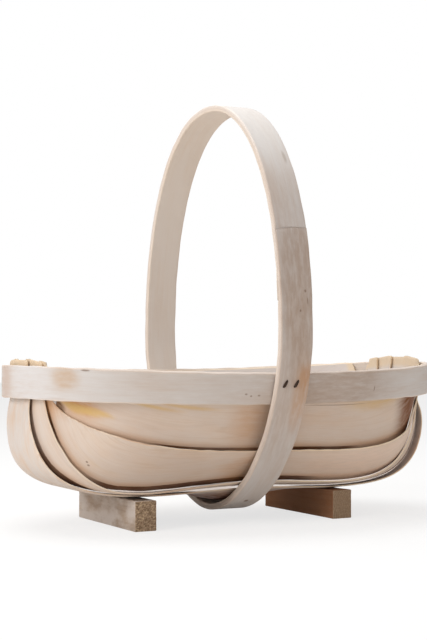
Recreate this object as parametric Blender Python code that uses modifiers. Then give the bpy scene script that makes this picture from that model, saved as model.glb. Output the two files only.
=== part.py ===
# Wooden garden trug: seven overlapping boards bent into a boat, nailed inside a bent rim,
# held by a bent hoop that passes under the hull as its handle, and standing on two feet.
# X runs along the trug, Y across it and Z up, with the origin on the ground below the middle.
import math

import bmesh
import bpy
import numpy as np
from mathutils import Matrix, Vector

# Rim: a bent band, highest at its ends
RIM_LENGTH = 0.460
RIM_WIDTH = 0.270
RIM_HEIGHT = 0.1479
RIM_RISE_LEFT = 0.0080
RIM_RISE_RIGHT = 0.0104
RIM_BAND = 0.0306
RIM_THICKNESS = 0.0055
RIM_FLARE = 0.0006
RIM_PLAN_SHARES = (2.92, 1.98)
LEAN_FADE_SHARE = 4
RIM_RELEASE_SHARE = 0.3
RIM_RELEASE_DROP = 0.004

# Handle: a closed bent hoop, rounder below its widest place than above it
HANDLE_TOP = 0.4165
HANDLE_BOTTOM = 0.0092
HANDLE_WIDEST = 0.1863
HANDLE_BAND = 0.0344
HANDLE_THICKNESS = 0.0063
HANDLE_SHIFT = -0.0021
HANDLE_UPPER_SHARES = (2.12, 2.12)
HANDLE_LOWER_SHARES = (1.87, 1.87)

# Scarf laps: where the two ends of a bent band are cut slantwise and joined
SCARF_HEIGHT = 0.285
SCARF_LENGTH = 0.070
SCARF_SLANT_SHARE = 0.15
SCARF_GAP = 0.0003
RIM_SCARF_PLACE = 0.035

# Feet: two blocks across the hull
FOOT_THICKNESS = 0.0224
FOOT_LENGTH = 0.1362
FOOT_HEIGHT = 0.0288
FOOT_LEFT = -0.1184
FOOT_RIGHT = 0.1010
FOOT_SHIFT = 0.0027
FOOT_ROUNDING = 0.0012

# Boards: thin strips, each lapping outside the one above it
BOARD_THICKNESS = 0.0026
BOARD_LAP = 0.011
BOARD_ROUNDING = 0.0005
BAND_ROUNDING = 0.0009
CLEARANCE = 0.0003
BENT_CLEARANCE = 0.0005
LAP_CLEARANCE = 0.0008

# Each board's outer edge: how far off the middle it ends at the rim, how far it stands proud
# of the rim, its height over the hull's bottom and its rise under the hoop, and how far its
# left and right ends bulge. Its side view and its plan are curves with these powers, the left
# end's pair first.
CENTRE_END = 0.0225
CENTRE_MIDDLE = 0.0505
CENTRE_PROUD = 0.0055
CENTRE_RISE = 0.0034
CENTRE_RISE_REACH = 0.112
CENTRE_BULGES = (0.0022, 0.0069)
CENTRE_PROFILE_SHARES = ((5.36, 4.43), (6.8, 2.9))
CENTRE_SPREAD_SHARES = (9.0, 0.4)

# The bilge and side boards are as wide in the middle as the hoop lets them be
BILGE_END = 0.0425
BILGE_PROUD = 0.002
BILGE_RISE = 0.0108
BILGE_RISE_REACH = 0.181
BILGE_BULGES = (0.0050, 0.0002)
BILGE_PROFILE_SHARES = ((7.02, 1.41), (4.19, 2.16))
BILGE_SPREAD_SHARES = (8.6, 1.23)

SIDE_END = 0.049
SIDE_PROUD = 0.001
SIDE_LIFT = 0.0376
SIDE_RISE = 0.0056
SIDE_RISE_REACH = 0.181
SIDE_BULGES = (0.0040, 0.0074)
SIDE_PROFILE_SHARES = ((1.8, 2.66), (4.27, 1.4))
SIDE_SPREAD_SHARES = (8.5, 2.75)

# Top boards: how much shorter than the side boards, and how far below the rim's edge
TOP_SETBACK = 0.010
TOP_DROP = 0.001

# Nails
NAIL_RADIUS = 0.0009
NAIL_HEAD_RADIUS = 0.0022
NAIL_HEAD_THICKNESS = 0.0007
END_NAIL_LENGTH = 0.0085
SIDE_NAIL_LENGTH = 0.0068
FOOT_NAIL_LENGTH = 0.020
END_NAIL_DROP = 0.020
SIDE_NAIL_DROP = 0.019
CENTRE_NAIL_SPREAD = 0.008
BILGE_NAIL_SHARE = 0.45
SIDE_END_NAIL_SHARE = 0.55
SIDE_NAIL_SHARES = (0.12, 0.41, 0.73, 0.88)
FOOT_NAIL_SPREAD = 0.026
HANDLE_NAIL_DROP = 0.0121
HANDLE_NAIL_PLACES = (-0.0103, 0.0016)
CLENCH_LENGTH = 0.0092
CLENCH_WIDTH = 0.0021
CLENCH_THICKNESS = 0.0011
CLENCH_TURN = -math.radians(27)
NAIL_SIDES = 6

# Mesh steps
FINE_STEPS = 240
BOARD_STEPS = 54
STEPS_BETWEEN = 6
RIM_STEPS = 88
HANDLE_STEPS = 84
ROUNDS = 6
OVERRUN = 0.004
SHARP_ANGLE = math.radians(35)

HULL_BOTTOM = FOOT_HEIGHT + CLEARANCE
UP = np.array([0.0, 0.0, 1.0])
HULL_CENTRE = np.array([0.0, 0.0, RIM_HEIGHT])
HANDLE_CENTRE = np.array([HANDLE_SHIFT, 0.0, HANDLE_WIDEST])


def new_collection(name):
    collection = bpy.data.collections.new(name)
    bpy.context.scene.collection.children.link(collection)
    return collection


def wood(name, colour, roughness):
    material = bpy.data.materials.new(name)
    material.use_nodes = True
    shader = material.node_tree.nodes["Principled BSDF"]
    shader.inputs["Base Color"].default_value = (*colour, 1.0)
    shader.inputs["Roughness"].default_value = roughness
    return material


def steel(name, colour, roughness):
    material = wood(name, colour, roughness)
    material.node_tree.nodes["Principled BSDF"].inputs["Metallic"].default_value = 1.0
    return material


def add_object(name, mesh_or_bmesh, collection, material=None):
    if isinstance(mesh_or_bmesh, bmesh.types.BMesh):
        mesh = bpy.data.meshes.new(name)
        mesh_or_bmesh.to_mesh(mesh)
        mesh_or_bmesh.free()
    else:
        mesh = mesh_or_bmesh
    thing = bpy.data.objects.new(name, mesh)
    collection.objects.link(thing)
    if material:
        mesh.materials.append(material)
    return thing


def unit(vectors):
    return vectors / np.linalg.norm(vectors, axis=-1, keepdims=True)


def quarter(power_s, power_c):
    """s and c from (0, 1) to (1, 0) along the curve s ** power_s + c ** power_c = 1."""
    middle_s, middle_c = 0.5 ** (1 / power_s), 0.5 ** (1 / power_c)
    rising_s = np.linspace(0, middle_s, FINE_STEPS)
    falling_c = np.linspace(middle_c, 0, FINE_STEPS)[1:]
    s = np.concatenate([rising_s, (1 - falling_c ** power_c) ** (1 / power_s)])
    c = np.concatenate([(1 - rising_s ** power_s) ** (1 / power_c), falling_c])
    return s, c


def arch(power_s, power_c):
    """The quarter curve and its mirror image: s from -1 to 1, c from 0 over 1 back to 0."""
    s, c = quarter(power_s, power_c)
    return np.concatenate([-s[:0:-1], s]), np.concatenate([c[:0:-1], c])


def lengths_along(points):
    steps = np.linalg.norm(np.diff(points, axis=0), axis=1)
    return np.concatenate([[0.0], np.cumsum(steps)])


def points_at(points, reach, wanted):
    return np.stack([np.interp(wanted, reach, points[:, axis]) for axis in range(3)], axis=-1)


def spaced(points, count):
    """count + 1 points at equal steps along a polyline."""
    reach = lengths_along(points)
    return points_at(points, reach, np.linspace(0, reach[-1], count + 1))


def mirrored(points):
    return points * np.array([1.0, -1.0, 1.0])


def handle_half_width():
    """Half the hoop's breadth, so that its inner face just clears the rim's top edge."""
    power, below = HANDLE_LOWER_SHARES[0], HANDLE_WIDEST - HANDLE_BOTTOM
    depth = (HANDLE_WIDEST - RIM_HEIGHT) / below
    breadth = (1 - depth ** power) ** (1 / power)
    slope = depth ** (power - 1) * breadth ** (1 - power) / below
    half = RIM_WIDTH / 2
    for _ in range(ROUNDS):
        slant = math.hypot(1, slope * half)
        half = (RIM_WIDTH / 2 + (HANDLE_THICKNESS + BENT_CLEARANCE) * slant) / breadth
    return half


def handle_outline(count):
    """The hoop's outer line in the YZ plane, from its lowest point round the back."""
    half, above = handle_half_width(), HANDLE_TOP - HANDLE_WIDEST
    below = HANDLE_WIDEST - HANDLE_BOTTOM
    s, c = quarter(*HANDLE_LOWER_SHARES)
    lower = np.stack([0 * s, s * half, HANDLE_WIDEST - c * below], axis=1)
    s, c = quarter(*HANDLE_UPPER_SHARES)
    upper = np.stack([0 * s, s * half, HANDLE_WIDEST + c * above], axis=1)[::-1]
    back = np.concatenate([lower, upper[1:]])
    loop = np.concatenate([back, mirrored(back)[-2::-1]])
    return spaced(loop, count)[:-1] + np.array([HANDLE_SHIFT, 0.0, 0.0])


def handle_normals(outline):
    """Unit vectors pointing out of the hoop at each point of its outline."""
    along = np.roll(outline, -1, axis=0) - np.roll(outline, 1, axis=0)
    return unit(np.cross(along, np.array([1.0, 0.0, 0.0])))


def inside_handle(height):
    """Half the breadth that fits in the hoop, with a clearance, at a height below its widest."""
    outline = handle_outline(HANDLE_STEPS)
    inner = outline - handle_normals(outline) * (HANDLE_THICKNESS + BENT_CLEARANCE)
    back = inner[(inner[:, 1] > 0) & (inner[:, 2] < HANDLE_WIDEST)]
    return float(np.interp(height, back[:, 2], back[:, 1]))


def rim_lean():
    """How far in the rim's lower edge lies at the hoop."""
    lean = 0.0
    for _ in range(ROUNDS):
        lowest = RIM_HEIGHT - math.sqrt(RIM_BAND ** 2 - lean ** 2)
        lean = RIM_WIDTH / 2 - inside_handle(lowest)
    return lean


def rim_top(x):
    """Height of the rim's top edge at a place along the trug."""
    rise = np.where(x < 0, RIM_RISE_LEFT, RIM_RISE_RIGHT)
    return RIM_HEIGHT + rise * (2 * x / RIM_LENGTH) ** 2


def rim_loop(count):
    """The rim's outer top edge, from its left end along the front, and its plan normals."""
    s, c = arch(*RIM_PLAN_SHARES)
    x, y = s * RIM_LENGTH / 2, -c * RIM_WIDTH / 2
    front = np.stack([x, y, rim_top(x)], axis=1)
    loop = np.concatenate([front, mirrored(front)[-2::-1]])
    top = spaced(loop, count)[:-1]
    along = np.roll(top, -1, axis=0) - np.roll(top, 1, axis=0)
    outward = unit(np.cross(along, UP) * np.array([1.0, 1.0, 0.0]))
    return top, outward


def rim_edges(count):
    """The outer top and bottom edges of the rim band, whose sides lean in with the hoop."""
    top, outward = rim_loop(count)
    lean = rim_lean() * np.abs(outward[:, 1:2]) ** LEAN_FADE_SHARE
    flare = RIM_FLARE * np.abs(outward[:, 0:1]) ** LEAN_FADE_SHARE
    shift = flare - lean
    drop = np.sqrt(RIM_BAND ** 2 - shift ** 2)
    return top, top + outward * shift - UP * drop


def rim_walls():
    """Where boards meet the inside of the rim, along the front: its top and bottom edges."""
    edges = rim_edges(RIM_STEPS)
    outward = rim_loop(RIM_STEPS)[1]
    slant = math.hypot(1, rim_lean() / RIM_BAND)
    depth = RIM_THICKNESS * (1 + (slant - 1) * np.abs(outward[:, 1:2])) + CLEARANCE
    return [(edge - outward * depth)[:RIM_STEPS // 2 + 1] for edge in edges]


def rim_reach(half_breadth):
    """How far along X a board goes, at this distance off the middle, before it meets the rim."""
    reaches = []
    for wall in rim_walls():
        right = wall[wall[:, 0] > 0][::-1]
        reaches.append(np.interp(half_breadth, -right[:, 1], right[:, 0]))
    return np.minimum(*reaches)


def inside_rim(edge):
    """Hold an edge back where it rises behind the rim's band, and let it go below the band."""
    below = np.maximum(rim_top(edge[:, 0]) - RIM_BAND - RIM_RELEASE_DROP - edge[:, 2], 0)
    limit = rim_reach(-edge[:, 1]) + below * RIM_RELEASE_SHARE
    held = edge.copy()
    held[:, 0] = np.sign(edge[:, 0]) * np.minimum(np.abs(edge[:, 0]), limit)
    return held


def inside_board(edge, foot, head):
    """Hold an edge inside the board below, which has these edges."""
    inward = inward_of(foot, head)
    depth = np.sum((edge - head) * inward, axis=1, keepdims=True)
    return edge + inward * np.maximum(BOARD_THICKNESS + LAP_CLEARANCE - depth, 0)


def lap_edge(end, middle, height, proud, bulges, profiles, spread_shares, rise, rise_reach):
    """The outer edge of a board on the front side, from the left end of the rim to the right."""
    halves = []
    for side, bulge, profile in zip((-1, 1), bulges, profiles):
        s, c = quarter(*profile)
        spread = (1 - s ** spread_shares[0]) ** spread_shares[1]
        x = side * (rim_reach(end) * s + bulge * 4 * c * (1 - c))
        squeeze = np.cos(np.clip(np.abs(x) / rise_reach, 0, 1) * math.pi / 2) ** 2
        y = -(end + (middle - end) * spread)
        z = (rim_top(x) + proud) * (1 - c) + height * c + rise * squeeze
        halves.append(np.stack([x, y, z], axis=1))
    left, right = halves
    return spaced(inside_rim(np.concatenate([left[::-1], right[1:]])), BOARD_STEPS)


def inward_of(foot, head, share=1.0):
    """Unit normals of the strip between two edges, pointing into the hull, at a share of it."""
    along = np.gradient(foot + (head - foot) * share, axis=0)
    normal = unit(np.cross(along, foot - head))
    side = np.sign(np.sum(normal * (HULL_CENTRE - head), axis=1, keepdims=True))
    return normal * side


def lapped_edge(foot, head):
    """The hidden edge of the next board up, which lies inside the board with these edges."""
    across = unit(foot - head)
    return head + across * BOARD_LAP + inward_of(foot, head) * (BOARD_THICKNESS + LAP_CLEARANCE)


def finer(points):
    """The same polyline with STEPS_BETWEEN steps to each of its runs."""
    rows = np.arange(len(points))
    between_rows = np.linspace(0, rows[-1], STEPS_BETWEEN * rows[-1] + 1)
    return np.stack([np.interp(between_rows, rows, column) for column in points.T], axis=1)


def tucked(foot, head, lower_foot, lower_head):
    """A board's hidden edge, pushed inward until the board clears the edge of the one below."""
    lower_foot, lower_head = finer(lower_foot), finer(lower_head)
    inward = inward_of(lower_foot, lower_head)
    pushes = []
    for low, high in zip(finer(foot), finer(head)):
        run = high - low
        shares = (lower_head - low) @ run / (run @ run)
        crossings = low + shares[:, None] * run
        near = int(np.argmin(np.linalg.norm(crossings - lower_head, axis=1)))
        depth = (crossings[near] - lower_head[near]) @ inward[near]
        short = max(BOARD_THICKNESS + LAP_CLEARANCE - depth, 0)
        pushes.append(inward[near] * short / (1 - shares[near]))
    pushed = foot.copy()
    for row in range(len(foot)):
        middle = row * STEPS_BETWEEN
        around = pushes[max(middle - STEPS_BETWEEN, 0):middle + STEPS_BETWEEN + 1]
        pushed[row] += max(around, key=np.linalg.norm)
    return pushed


def board_edges():
    """The hidden and the outer edge of each board on the front side."""
    centre = lap_edge(CENTRE_END, CENTRE_MIDDLE, HULL_BOTTOM, CENTRE_PROUD, CENTRE_BULGES,
                      CENTRE_PROFILE_SHARES, CENTRE_SPREAD_SHARES, CENTRE_RISE,
                      CENTRE_RISE_REACH)
    edges = {"centre": (mirrored(centre), centre)}
    bilge = lap_edge(BILGE_END, inside_handle(HULL_BOTTOM + BILGE_RISE), HULL_BOTTOM,
                     BILGE_PROUD, BILGE_BULGES, BILGE_PROFILE_SHARES, BILGE_SPREAD_SHARES,
                     BILGE_RISE, BILGE_RISE_REACH)
    bilge = inside_board(bilge, *edges["centre"])
    hidden = lapped_edge(*edges["centre"])
    edges["bilge"] = (tucked(hidden, bilge, *edges["centre"]), bilge)
    height = HULL_BOTTOM + SIDE_LIFT
    side = lap_edge(SIDE_END, inside_handle(height + SIDE_RISE), height, SIDE_PROUD,
                    SIDE_BULGES, SIDE_PROFILE_SHARES, SIDE_SPREAD_SHARES, SIDE_RISE,
                    SIDE_RISE_REACH)
    side = inside_board(side, *edges["bilge"])
    hidden = lapped_edge(*edges["bilge"])
    edges["side"] = (tucked(hidden, side, *edges["bilge"]), side)
    hidden, top = between(lapped_edge(*edges["side"])), between(rim_walls()[0] - UP * TOP_DROP)
    edges["top"] = (tucked(hidden, top, *edges["side"]), top)
    return edges


def between(points):
    """The stretch of an edge that a top board covers, at equal steps."""
    reach = lengths_along(points)
    half = float(rim_reach(SIDE_END)) - TOP_SETBACK
    ends = np.interp((-half, half), points[:, 0], reach)
    return points_at(points, reach, np.linspace(*ends, BOARD_STEPS + 1))


def strip(name, foot, head, thickness, rounding, centre, material, closed=False):
    """A bent strip: the surface between two edges, thickened inward, with rounded edges."""
    shape = bmesh.new()
    rows = [(shape.verts.new(a), shape.verts.new(b)) for a, b in zip(foot, head)]
    pairs = list(zip(rows, rows[1:] + rows[:1])) if closed else list(zip(rows, rows[1:]))
    for (foot_a, head_a), (foot_b, head_b) in pairs:
        shape.faces.new((foot_a, foot_b, head_b, head_a))
    shape.normal_update()
    shape.faces.ensure_lookup_table()
    first = shape.faces[len(shape.faces) // 2]
    if first.normal.dot(first.calc_center_median() - Vector(centre)) < 0:
        bmesh.ops.reverse_faces(shape, faces=shape.faces)
    thing = add_object(name, shape, parts, material)
    solidify = thing.modifiers.new("thickness", "SOLIDIFY")
    solidify.thickness = thickness
    solidify.offset = -1
    solidify.use_even_offset = True
    bevel = thing.modifiers.new("rounding", "BEVEL")
    bevel.width = rounding
    bevel.segments = 1
    bevel.limit_method = "ANGLE"
    bevel.angle_limit = math.radians(50)
    thing.data.shade_smooth()
    thing.data.set_sharp_from_angle(angle=SHARP_ANGLE)
    return thing


def cut(thing, cutter, operation="DIFFERENCE"):
    boolean = thing.modifiers.new(cutter.name, "BOOLEAN")
    boolean.operation = operation
    boolean.solver = "EXACT"
    boolean.object = cutter


def add_cutter(name, shape):
    cutter = add_object(name, shape, cutters)
    cutter.hide_render = True
    cutter.display_type = "WIRE"
    return cutter


def axes_matrix(place, direction, side):
    """A frame at a place, with its Z along a direction and its X near a side."""
    z_axis = unit(direction)
    x_axis = unit(side - z_axis * np.dot(side, z_axis))
    y_axis = np.cross(z_axis, x_axis)
    frame = Matrix((x_axis, y_axis, z_axis)).transposed().to_4x4()
    frame.translation = Vector(place)
    return frame


def add_box(shape, size, frame):
    grown = bmesh.ops.create_cube(shape, size=1.0)["verts"]
    bmesh.ops.scale(shape, vec=size, verts=grown)
    bmesh.ops.transform(shape, matrix=frame, verts=grown)


def nail_mesh(name, length):
    """Half the outline of a nail: a flat head below the origin and a shank above it."""
    outline = ((0, length), (NAIL_RADIUS, length), (NAIL_RADIUS, 0), (NAIL_HEAD_RADIUS, 0),
               (NAIL_HEAD_RADIUS, -NAIL_HEAD_THICKNESS), (0, -NAIL_HEAD_THICKNESS))
    shape = bmesh.new()
    points = [shape.verts.new((radius, 0, height)) for radius, height in outline]
    for pair in zip(points, points[1:]):
        shape.edges.new(pair)
    mesh = bpy.data.meshes.new(name)
    shape.to_mesh(mesh)
    shape.free()
    mesh.materials.append(nail_steel)
    return mesh


def add_nails(name, seats, length, drilled):
    """Nails driven outward at their seats, in holes through the pieces that they join."""
    hole_radius = (NAIL_RADIUS + CLEARANCE) / math.cos(math.pi / NAIL_SIDES)
    holes, mesh, nails = bmesh.new(), nail_mesh(name, length), []
    for number, seat in enumerate(seats, 1):
        middle = Matrix.Translation((0, 0, (length + CLEARANCE - OVERRUN) / 2))
        bmesh.ops.create_cone(holes, cap_ends=True, segments=NAIL_SIDES, radius1=hole_radius,
                              radius2=hole_radius, depth=length + CLEARANCE + OVERRUN,
                              matrix=seat @ middle)
        nail = add_object(f"{name}_{number}", mesh, parts)
        nail.matrix_world = seat
        turn = nail.modifiers.new("turn", "SCREW")
        turn.steps = turn.render_steps = NAIL_SIDES
        turn.use_merge_vertices = True
        turn.merge_threshold = NAIL_RADIUS / 100
        nails.append(nail)
    cutter = add_cutter(name + "_holes", holes)
    for thing in drilled:
        cut(thing, cutter)
    return nails


def board_seat(edges, place, share, from_right=False):
    """A nail's frame on a board's inner face: so far from one end, at a share of its width."""
    foot, head = edges
    reach = lengths_along(head)
    where = reach[-1] - place if from_right else place
    low, high = points_at(foot, reach, where), points_at(head, reach, where)
    normals = inward_of(foot, head, share)
    inward = unit(np.array([np.interp(where, reach, column) for column in normals.T]))
    face = low + (high - low) * share + inward * (BOARD_THICKNESS + BENT_CLEARANCE)
    return axes_matrix(face, -inward, high - low)


def flipped(frame):
    """The same seat on the back of the trug."""
    place, outward, side = frame.translation, frame.col[2], frame.col[0]
    return axes_matrix(np.array((place.x, -place.y, place.z)),
                       np.array((outward.x, -outward.y, outward.z)),
                       np.array((side.x, -side.y, side.z)))


def handle_point(height, inset):
    """A point on the front of the hoop and the outward direction there."""
    outline = handle_outline(8 * FINE_STEPS)
    outward = handle_normals(outline)
    front = outline[:, 1] < 0
    order = np.argsort(outline[front, 2])
    levels = outline[front, 2][order]
    point = np.array([np.interp(height, levels, column[order]) for column in outline[front].T])
    facing = np.array([np.interp(height, levels, column[order]) for column in outward[front].T])
    return point - unit(facing) * inset, unit(facing)


def saw_cut(name, thing, start, end, across, width):
    """Part a band with a thin slanting cut between a point outside it and one inside it."""
    run = end - start
    shape = bmesh.new()
    normal = np.cross(run, across)
    size = (np.linalg.norm(run) + 2 * OVERRUN, width + 2 * OVERRUN, SCARF_GAP)
    add_box(shape, size, axes_matrix((start + end) / 2, normal, run))
    cut(thing, add_cutter(name, shape))


def make_rim():
    top, bottom = rim_edges(RIM_STEPS)
    rim = strip("rim_band", bottom, top, RIM_THICKNESS, BAND_ROUNDING, HULL_CENTRE,
                whitewashed, closed=True)
    top, outward = rim_loop(8 * FINE_STEPS)
    _, bottom = rim_edges(8 * FINE_STEPS)
    back = [i for i in range(len(top)) if top[i, 1] > 0]
    start = min(back, key=lambda i: abs(top[i, 0] - RIM_SCARF_PLACE - SCARF_LENGTH / 2))
    end = min(back, key=lambda i: abs(top[i, 0] - RIM_SCARF_PLACE + SCARF_LENGTH / 2))
    middle_start = (top[start] + bottom[start]) / 2
    middle_end = (top[end] + bottom[end]) / 2 - outward[end] * RIM_THICKNESS
    saw_cut("rim_scarf", rim, middle_start, middle_end, top[start] - bottom[start], RIM_BAND)
    return rim


def make_handle():
    outline = handle_outline(HANDLE_STEPS)
    half = np.array([HANDLE_BAND / 2, 0.0, 0.0])
    handle = strip("handle_hoop", outline - half, outline + half, HANDLE_THICKNESS,
                   BAND_ROUNDING, HANDLE_CENTRE, whitewashed, closed=True)
    start, _ = handle_point(SCARF_HEIGHT, 0.0)
    end, _ = handle_point(SCARF_HEIGHT - SCARF_LENGTH, HANDLE_THICKNESS)
    saw_cut("handle_scarf", handle, start, end, np.array([1.0, 0.0, SCARF_SLANT_SHARE]),
            HANDLE_BAND)
    return handle


def make_boards(edges):
    boards = {}
    boards["centre"] = [strip("centre_board", *edges["centre"], BOARD_THICKNESS,
                              BOARD_ROUNDING, HULL_CENTRE, bare_board)]
    for kind in ("bilge", "side", "top"):
        foot, head = edges[kind]
        boards[kind] = [
            strip(kind + "_board_front", foot, head, BOARD_THICKNESS, BOARD_ROUNDING,
                  HULL_CENTRE, bare_board),
            strip(kind + "_board_back", mirrored(foot), mirrored(head), BOARD_THICKNESS,
                  BOARD_ROUNDING, HULL_CENTRE, bare_board)]
    return boards


def make_foot(name, place):
    shape = bmesh.new()
    add_box(shape, (FOOT_THICKNESS, FOOT_LENGTH, FOOT_HEIGHT), Matrix.Identity(4))
    foot = add_object(name, shape, parts, foot_block)
    foot.location = (place, FOOT_SHIFT, FOOT_HEIGHT / 2)
    bevel = foot.modifiers.new("rounding", "BEVEL")
    bevel.width = FOOT_ROUNDING
    bevel.segments = 2
    return foot


def make_end_nails(edges, boards, rim):
    """The nails that hold the boards' ends inside the two ends of the rim."""
    centre_shares = [0.5 + side * CENTRE_NAIL_SPREAD / (2 * CENTRE_END) for side in (-1, 1)]
    drilled = [rim] + boards["centre"] + boards["bilge"] + boards["side"]
    for name, right in (("end_nail_left", False), ("end_nail_right", True)):
        seats = [board_seat(edges["centre"], END_NAIL_DROP, share, right)
                 for share in centre_shares]
        front = [board_seat(edges["bilge"], END_NAIL_DROP, BILGE_NAIL_SHARE, right),
                 board_seat(edges["side"], END_NAIL_DROP, SIDE_END_NAIL_SHARE, right)]
        seats += front + [flipped(seat) for seat in front]
        add_nails(name, seats, END_NAIL_LENGTH, drilled)


def make_side_nails(edges, boards, rim):
    """The nails that hold the top boards to the long sides of the rim."""
    foot, head = edges["top"]
    reach = lengths_along(head)
    seats = []
    for share in SIDE_NAIL_SHARES:
        where = share * reach[-1]
        width = np.linalg.norm(points_at(head, reach, where) - points_at(foot, reach, where))
        seats.append(board_seat(edges["top"], where, 1 - (SIDE_NAIL_DROP - TOP_DROP) / width))
    add_nails("side_nail_front", seats, SIDE_NAIL_LENGTH, [rim, boards["top"][0]])
    add_nails("side_nail_back", [flipped(seat) for seat in seats], SIDE_NAIL_LENGTH,
              [rim, boards["top"][1]])


def make_foot_nails(edges, boards, feet):
    """The nails that hold each foot under the centre board."""
    head = edges["centre"][1]
    reach = lengths_along(head)
    for name, block, place in (("foot_nail_left", feet[0], FOOT_LEFT),
                               ("foot_nail_right", feet[1], FOOT_RIGHT)):
        where = float(np.interp(place, head[:, 0], reach))
        shares = [0.5 + side * FOOT_NAIL_SPREAD / (2 * CENTRE_MIDDLE) for side in (-1, 1)]
        seats = [board_seat(edges["centre"], where, share) for share in shares]
        add_nails(name, seats, FOOT_NAIL_LENGTH, [block] + boards["centre"])


def make_handle_nails(edges, boards, rim, handle):
    """Nails through top board, rim and handle, with their points clenched over outside."""
    outside, outward = handle_point(RIM_HEIGHT - HANDLE_NAIL_DROP, 0.0)
    foot, head = edges["top"]
    row = int(np.argmin(np.abs(head[:, 0] - HANDLE_SHIFT)))
    inward = inward_of(foot, head)[row]
    inner = head[row] + inward * BOARD_THICKNESS
    tilt = math.sqrt(1 - float(np.dot(inward, outward)) ** 2)
    depth = float(np.dot(inner - outside, inward) / np.dot(-outward, inward))
    depth += CLEARANCE + NAIL_HEAD_RADIUS * tilt
    length = depth + CLEARANCE + CLENCH_THICKNESS / 2
    seats = []
    for place in HANDLE_NAIL_PLACES:
        start = outside + np.array([place, 0.0, 0.0]) - outward * depth
        seats.append(axes_matrix(start, outward, UP))
    for name, board, frames in (("handle_nail_front", boards["top"][0], seats),
                                ("handle_nail_back", boards["top"][1],
                                 [flipped(seat) for seat in seats])):
        nails = add_nails(name, frames, length, [rim, handle, board])
        for nail, frame in zip(nails, frames):
            cut(nail, make_clench(nail.name + "_clench", frame, depth), "UNION")


def make_clench(name, frame, depth):
    """A hammered point, lying slantwise on the handle's outer face."""
    turn = Matrix.Rotation(CLENCH_TURN, 4, "Z")
    shift = Matrix.Translation((CLENCH_LENGTH / 2 - CLENCH_WIDTH / 2, 0,
                                depth + CLEARANCE + CLENCH_THICKNESS / 2))
    shape = bmesh.new()
    add_box(shape, (CLENCH_LENGTH, CLENCH_WIDTH, CLENCH_THICKNESS), frame @ turn @ shift)
    return add_cutter(name, shape)


def build():
    edges = board_edges()
    rim, handle = make_rim(), make_handle()
    boards = make_boards(edges)
    feet = [make_foot("foot_left", FOOT_LEFT), make_foot("foot_right", FOOT_RIGHT)]
    make_end_nails(edges, boards, rim)
    make_side_nails(edges, boards, rim)
    make_foot_nails(edges, boards, feet)
    make_handle_nails(edges, boards, rim, handle)


for old in list(bpy.data.objects):
    bpy.data.objects.remove(old, do_unlink=True)
parts = new_collection("garden_trug")
cutters = new_collection("cutters")
whitewashed = wood("whitewashed_band", (0.60, 0.57, 0.56), 0.75)
bare_board = wood("pale_board", (0.62, 0.50, 0.40), 0.7)
foot_block = wood("sawn_foot", (0.50, 0.42, 0.36), 0.8)
nail_steel = steel("dull_nail", (0.25, 0.21, 0.18), 0.6)
build()
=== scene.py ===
# Looks of a wooden garden trug: bent boards and bands with worn whitewash, sawn feet, dull nails.
# Each bent piece follows the formulas that shape the solids, with finer steps, rounded arrises,
# real scarf laps, marks of use and some painted shade and light. X runs along the trug, Y across
# it and Z up, in metres.
import math

import bmesh
import bpy
import numpy as np
from mathutils import Matrix, Vector


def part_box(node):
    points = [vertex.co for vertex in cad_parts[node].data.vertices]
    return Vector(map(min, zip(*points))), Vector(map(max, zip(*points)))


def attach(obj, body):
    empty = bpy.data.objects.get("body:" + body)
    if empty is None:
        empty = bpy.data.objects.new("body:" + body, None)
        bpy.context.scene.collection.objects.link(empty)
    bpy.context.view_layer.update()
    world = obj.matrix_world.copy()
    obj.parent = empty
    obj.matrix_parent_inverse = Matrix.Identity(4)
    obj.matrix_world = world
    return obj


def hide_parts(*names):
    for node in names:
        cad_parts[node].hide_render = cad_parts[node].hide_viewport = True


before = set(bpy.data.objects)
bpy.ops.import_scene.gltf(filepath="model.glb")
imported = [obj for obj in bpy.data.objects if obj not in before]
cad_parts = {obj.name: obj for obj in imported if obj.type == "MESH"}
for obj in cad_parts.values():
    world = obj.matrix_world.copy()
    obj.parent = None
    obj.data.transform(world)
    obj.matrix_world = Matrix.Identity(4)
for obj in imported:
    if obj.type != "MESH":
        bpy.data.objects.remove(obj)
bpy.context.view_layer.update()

# Rim: a bent band, highest at its ends
RIM_LENGTH = 0.460
RIM_WIDTH = 0.270
RIM_HEIGHT = 0.1479
RIM_RISE_LEFT = 0.0080
RIM_RISE_RIGHT = 0.0104
RIM_BAND = 0.0306
RIM_THICKNESS = 0.0055
RIM_FLARE = 0.0006
RIM_PLAN_SHARES = (2.92, 1.98)
LEAN_FADE_SHARE = 4
RIM_RELEASE_SHARE = 0.3
RIM_RELEASE_DROP = 0.004

# Handle: a closed bent hoop
HANDLE_TOP = 0.4165
HANDLE_BOTTOM = 0.0092
HANDLE_WIDEST = 0.1863
HANDLE_BAND = 0.0344
HANDLE_THICKNESS = 0.0063
HANDLE_SHIFT = -0.0021
HANDLE_UPPER_SHARES = (2.12, 2.12)
HANDLE_LOWER_SHARES = (1.87, 1.87)

# Scarf laps
SCARF_HEIGHT = 0.285
SCARF_LENGTH = 0.070
SCARF_SLANT_SHARE = 0.15
SCARF_GAP = 0.0003
SCARF_TIP = 0.0004
RIM_SCARF_PLACE = 0.035

# Boards
HULL_BOTTOM = 0.0291
BOARD_THICKNESS = 0.0026
BOARD_LAP = 0.011
BENT_CLEARANCE = 0.0005
LAP_CLEARANCE = 0.0008
CLEARANCE = 0.0003
CENTRE_MIDDLE = 0.0505
TOP_SETBACK = 0.010
TOP_DROP = 0.001

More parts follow.
